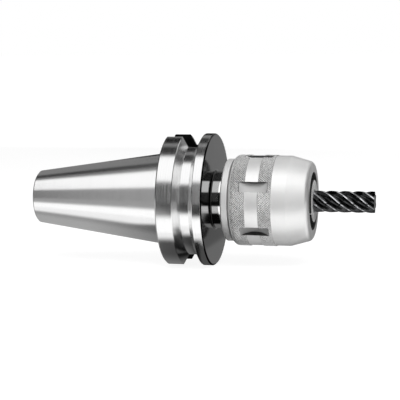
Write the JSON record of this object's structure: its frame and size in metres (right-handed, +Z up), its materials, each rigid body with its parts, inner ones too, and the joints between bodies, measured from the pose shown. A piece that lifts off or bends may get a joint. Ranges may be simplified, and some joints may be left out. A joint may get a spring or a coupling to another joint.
{
  "type": "milling chuck",
  "caption": "Power milling chuck with a 7/24 taper shank, gripper flange, roller clamping nut, straight collet and end mill.",
  "frame": {"origin": "where the spindle axis meets the gauge plane of the taper shank", "axes": "+X along the spindle axis towards the cutter, +Z up through the middle of a drive slot, +Y across"},
  "size_m": [0.26, 0.1, 0.1],
  "materials": {
    "ground_steel": "ground and polished",
    "satin_steel": "satin nickel-plated",
    "bright_steel": "lapped rollers",
    "spring_steel": "blackened",
    "cage_brass": "machined",
    "seal_rubber": "moulded nitrile",
    "cutter_steel": "dark coated and polished"
  },
  "bodies": {
    "chuck": {"chuck_body": "ground_steel", "dust_ring_snap_ring": "spring_steel", "shoulder_seal_ring": "seal_rubber", "cage_stop_ring": "spring_steel", "front_wiper_seal": "seal_rubber", "straight_collet": "ground_steel", "end_mill": "cutter_steel"},
    "dust_ring": {"rear_dust_ring": "satin_steel", "spigot_seal_ring": "seal_rubber"},
    "nut": {"clamping_nut": "satin_steel", "nut_retaining_ring": "spring_steel"},
    "cage": {"roller_cage": "cage_brass", "needle_rollers_row_1": "bright_steel", "needle_rollers_row_2": "bright_steel", "needle_rollers_row_3": "bright_steel", "needle_rollers_row_4": "bright_steel"},
    "preset_seal": {"preset_seal_ring": "seal_rubber"},
    "preset_screw": {"preset_screw": "spring_steel"}
  },
  "joints": [
    {"name": "nut_turn", "type": "hinge", "parent": "chuck", "child": "dust_ring", "pos_m": [0.05, 0, 0], "axis": [1, 0, 0], "range_deg": [0, 540]},
    {"name": "nut_advance", "type": "slide", "parent": "dust_ring", "child": "nut", "axis": [1, 0, 0], "range_m": [0, 0.00225]},
    {"name": "cage_turn", "type": "hinge", "parent": "chuck", "child": "cage", "pos_m": [0.085, 0, 0], "axis": [1, 0, 0], "range_deg": [0, 287]},
    {"name": "preset_advance", "type": "slide", "parent": "chuck", "child": "preset_seal", "axis": [1, 0, 0], "range_m": [-0.004, 0.008]},
    {"name": "preset_turn", "type": "hinge", "parent": "preset_seal", "child": "preset_screw", "pos_m": [0.032, 0, 0], "axis": [1, 0, 0], "range_deg": [-960, 1920]}
  ],
  "couplings": [
    {"joint": "nut_advance", "follows": "nut_turn", "m_per_rad": 0.0002387},
    {"joint": "cage_turn", "follows": "nut_turn", "ratio": 0.5311},
    {"joint": "preset_turn", "follows": "preset_advance", "rad_per_m": 4188.8}
  ]
}
